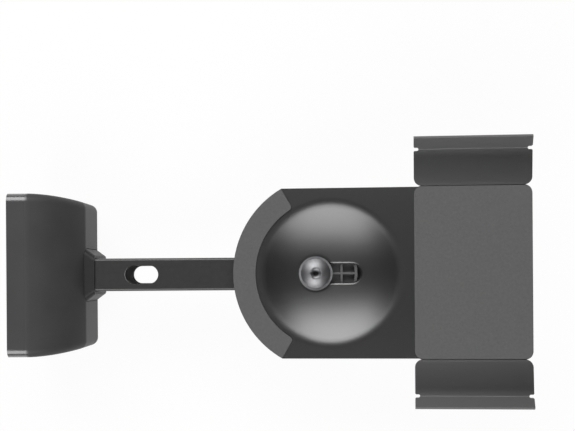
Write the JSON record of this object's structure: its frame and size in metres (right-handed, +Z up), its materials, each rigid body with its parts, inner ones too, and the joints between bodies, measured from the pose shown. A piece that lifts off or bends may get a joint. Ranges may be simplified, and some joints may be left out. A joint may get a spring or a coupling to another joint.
{
  "type": "speaker wall bracket",
  "caption": "Wall bracket for a speaker: a covered wall plate, a tubular arm and a padded holder with a pressed dish that swivels and tilts on a clamping bolt.",
  "frame": {"origin": "middle of the wall plate's back face, on the arm's axis", "axes": "+X out of the wall along the arm, +Y across the arm, +Z up"},
  "size_m": [0.3083, 0.1586, 0.1053],
  "materials": {
    "black_paint": "black satin powder coat",
    "cover_plastic": "fine moulded texture",
    "collar_plastic": "fine moulded texture",
    "seat_plastic": "plain moulded",
    "zinc_steel": "dull grey zinc plate",
    "nut_nylon": "plain nylon",
    "pad_foam": "matt closed-cell foam rubber"
  },
  "bodies": {
    "wall_arm": {"wall_plate": "black_paint", "wall_cover": "cover_plastic", "arm_collar": "collar_plastic", "arm_tube": "black_paint", "arm_end_cap": "collar_plastic", "crush_sleeve": "zinc_steel", "dish_seat": "seat_plastic", "pivot_bolt": "zinc_steel", "nut_washer": "zinc_steel", "lock_nut": "zinc_steel", "nut_insert": "nut_nylon"},
    "swivel_washer": {"dish_washer": "zinc_steel"},
    "holder": {"holder_plate": "black_paint", "crescent_pad": "pad_foam", "end_pad": "pad_foam"}
  },
  "joints": [
    {"name": "swivel", "type": "hinge", "parent": "wall_arm", "child": "swivel_washer", "pos_m": [0.182, 0, 0.03125], "axis": [0, 0, 1], "range_deg": [-90, 90]},
    {"name": "tilt", "type": "hinge", "parent": "swivel_washer", "child": "holder", "pos_m": [0.182, 0, 0.13125], "axis": [0, 1, 0], "range_deg": [-1.4, 12.4]}
  ]
}
